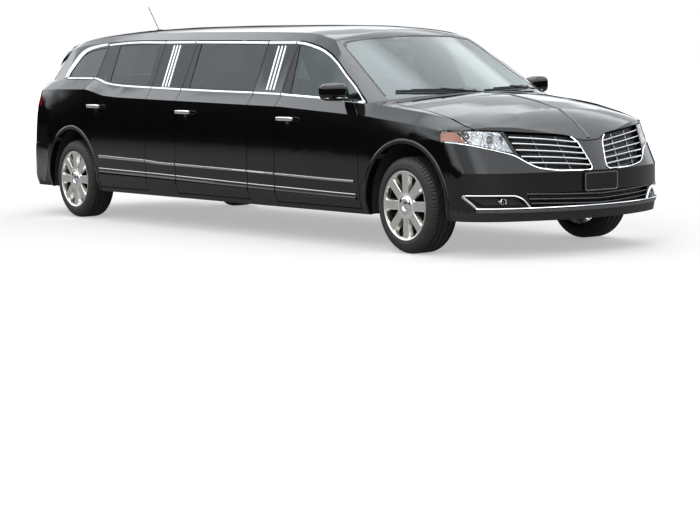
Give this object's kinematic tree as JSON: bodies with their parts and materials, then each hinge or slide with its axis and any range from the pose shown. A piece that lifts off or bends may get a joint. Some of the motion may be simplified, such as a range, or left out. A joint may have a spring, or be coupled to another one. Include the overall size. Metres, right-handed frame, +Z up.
{
  "type": "stretch limousine",
  "caption": "Stretch limousine with opening doors, bonnet and liftgate, steered front wheels, split grille, full-width rear lamp and a leather passenger cabin.",
  "frame": {"origin": "on the ground under the middle of the length and width", "axes": "+Y towards the tail, +X towards the car's left side, +Z up; the front faces -Y"},
  "size_m": [2.184, 7.275, 1.9003],
  "materials": {
    "paint": "gloss",
    "dark_plastic": "matte",
    "glass": "clear",
    "dark_glass": "tinted",
    "chrome": "polished",
    "bright_alloy": "machined",
    "lamp_clear": "clear",
    "lamp_red": "gloss",
    "tyre": "matte",
    "leather": "satin",
    "steel": "satin",
    "iron": "rough",
    "underbody": "matte"
  },
  "bodies": {
    "body": {"antenna": "dark_plastic", "body_side_left": "paint", "body_side_right": "paint", "cowl": "dark_plastic", "dashboard": "dark_plastic", "engine": "iron", "exhaust_tips": "chrome", "floor_pan": "underbody", "front_bumper": "paint", "front_fenders": "paint", "front_seats": "leather", "front_subframe": "steel", "fuel_tank": "underbody", "grille": "chrome", "headlamps": "lamp_clear", "lower_grille": "dark_plastic", "quarter_windows": "dark_glass", "radiator": "underbody", "rear_axle": "steel", "rear_bench": "leather", "rear_bumper": "paint", "rear_facing_bench": "leather", "roof_panel": "paint", "side_bench": "leather", "tail_lamps": "lamp_red", "wheel_liners": "dark_plastic", "windscreen": "glass"},
    "door_front_left": {"door_front_left": "paint", "glass_front_left": "glass", "door_mirror_left": "paint"},
    "door_front_right": {"door_front_right": "paint", "glass_front_right": "glass", "door_mirror_right": "paint"},
    "door_middle_left": {"door_middle_left": "paint", "glass_middle_left": "dark_glass"},
    "door_middle_right": {"door_middle_right": "paint", "glass_middle_right": "dark_glass"},
    "door_rear_left": {"door_rear_left": "paint", "glass_rear_left": "dark_glass"},
    "door_rear_right": {"door_rear_right": "paint", "glass_rear_right": "dark_glass"},
    "wheel_front_left": {"tyre_front_left": "tyre", "rim_front_left": "bright_alloy"},
    "wheel_front_right": {"tyre_front_right": "tyre", "rim_front_right": "bright_alloy"},
    "wheel_rear_left": {"tyre_rear_left": "tyre", "rim_rear_left": "bright_alloy"},
    "wheel_rear_right": {"tyre_rear_right": "tyre", "rim_rear_right": "bright_alloy"},
    "knuckle_left": {"knuckle_left": "steel"},
    "knuckle_right": {"knuckle_right": "steel"},
    "bonnet": {"bonnet": "paint"},
    "liftgate": {"liftgate": "paint", "liftgate_glass": "dark_glass", "liftgate_lamp": "lamp_red"},
    "steering_wheel": {"steering_wheel": "dark_plastic"}
  },
  "joints": [
    {"name": "door_front_left_hinge", "type": "hinge", "parent": "body", "child": "door_front_left", "pos_m": [0.965, -2.043, 0.9], "axis": [0, 0, -1], "range_deg": [0, 64]},
    {"name": "door_middle_left_hinge", "type": "hinge", "parent": "body", "child": "door_middle_left", "pos_m": [0.965, -0.533, 0.9], "axis": [0, 0, -1], "range_deg": [0, 64]},
    {"name": "door_rear_left_hinge", "type": "hinge", "parent": "body", "child": "door_rear_left", "pos_m": [0.965, 1.067, 0.9], "axis": [0, 0, -1], "range_deg": [0, 64]},
    {"name": "steer_left", "type": "hinge", "parent": "body", "child": "knuckle_left", "pos_m": [0.76, -2.574, 0.35], "axis": [0, 0, 1], "range_deg": [-32, 32]},
    {"name": "wheel_front_left_spin", "type": "hinge", "parent": "knuckle_left", "child": "wheel_front_left", "pos_m": [0.822, -2.574, 0.35], "axis": [1, 0, 0], "continuous": true},
    {"name": "wheel_rear_left_spin", "type": "hinge", "parent": "body", "child": "wheel_rear_left", "pos_m": [0.822, 2.402, 0.35], "axis": [1, 0, 0], "continuous": true},
    {"name": "door_front_right_hinge", "type": "hinge", "parent": "body", "child": "door_front_right", "pos_m": [-0.965, -2.043, 0.9], "axis": [0, 0, 1], "range_deg": [0, 64]},
    {"name": "door_middle_right_hinge", "type": "hinge", "parent": "body", "child": "door_middle_right", "pos_m": [-0.965, -0.533, 0.9], "axis": [0, 0, 1], "range_deg": [0, 64]},
    {"name": "door_rear_right_hinge", "type": "hinge", "parent": "body", "child": "door_rear_right", "pos_m": [-0.965, 1.067, 0.9], "axis": [0, 0, 1], "range_deg": [0, 64]},
    {"name": "steer_right", "type": "hinge", "parent": "body", "child": "knuckle_right", "pos_m": [-0.76, -2.574, 0.35], "axis": [0, 0, 1], "range_deg": [-32, 32]},
    {"name": "wheel_front_right_spin", "type": "hinge", "parent": "knuckle_right", "child": "wheel_front_right", "pos_m": [-0.822, -2.574, 0.35], "axis": [1, 0, 0], "continuous": true},
    {"name": "wheel_rear_right_spin", "type": "hinge", "parent": "body", "child": "wheel_rear_right", "pos_m": [-0.822, 2.402, 0.35], "axis": [1, 0, 0], "continuous": true},
    {"name": "bonnet_hinge", "type": "hinge", "parent": "body", "child": "bonnet", "pos_m": [0, -2.258, 1.084], "axis": [-1, 0, 0], "range_deg": [0, 45]},
    {"name": "liftgate_hinge", "type": "hinge", "parent": "body", "child": "liftgate", "pos_m": [0, 2.784, 1.654], "axis": [1, 0, 0], "range_deg": [0, 72]},
    {"name": "steering_wheel_turn", "type": "hinge", "parent": "body", "child": "steering_wheel", "pos_m": [0.37, -1.56, 0.985], "axis": [0, 0.9118, 0.4107], "range_deg": [-482, 482]}
  ],
  "couplings": [
    {"joint": "steer_right", "follows": "steer_left", "ratio": 1},
    {"joint": "steering_wheel_turn", "follows": "steer_left", "ratio": 15}
  ]
}
